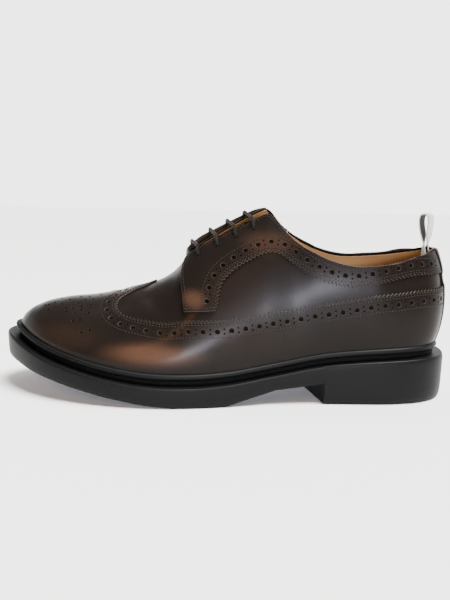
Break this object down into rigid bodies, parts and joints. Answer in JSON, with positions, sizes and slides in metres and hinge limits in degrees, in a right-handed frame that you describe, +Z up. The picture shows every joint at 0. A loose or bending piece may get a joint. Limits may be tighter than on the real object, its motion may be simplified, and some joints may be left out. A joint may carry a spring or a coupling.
{
  "type": "longwing derby brogue shoe",
  "caption": "Left longwing derby brogue in dark leather on a black rubber sole with a low block heel; the foot goes in at the open collar and round cord laces the throat.",
  "frame": {"origin": "on the floor, under the middle of the shoe's box", "axes": "+X along the shoe towards the heel, +Y towards the inner side of the foot, +Z up"},
  "size_m": [0.305, 0.1093, 0.1259],
  "materials": {
    "upper_leather": "polished espresso calf",
    "sock_leather": "matt tan lining leather",
    "sole_rubber": "satin black moulded rubber",
    "lace_cord": "round waxed cord",
    "loop_tape": "plain ribbed tape"
  },
  "bodies": {
    "root": {"outsole": "sole_rubber", "welt": "sole_rubber", "insole": "sock_leather", "upper": "upper_leather", "wing": "upper_leather", "facing_lateral": "upper_leather", "facing_medial": "upper_leather", "heel_strip": "upper_leather", "tongue": "upper_leather", "lace_bar_1": "lace_cord", "lace_bar_2": "lace_cord", "lace_bar_3": "lace_cord", "lace_bar_4": "lace_cord", "pull_loop": "loop_tape"}
  },
  "joints": []
}
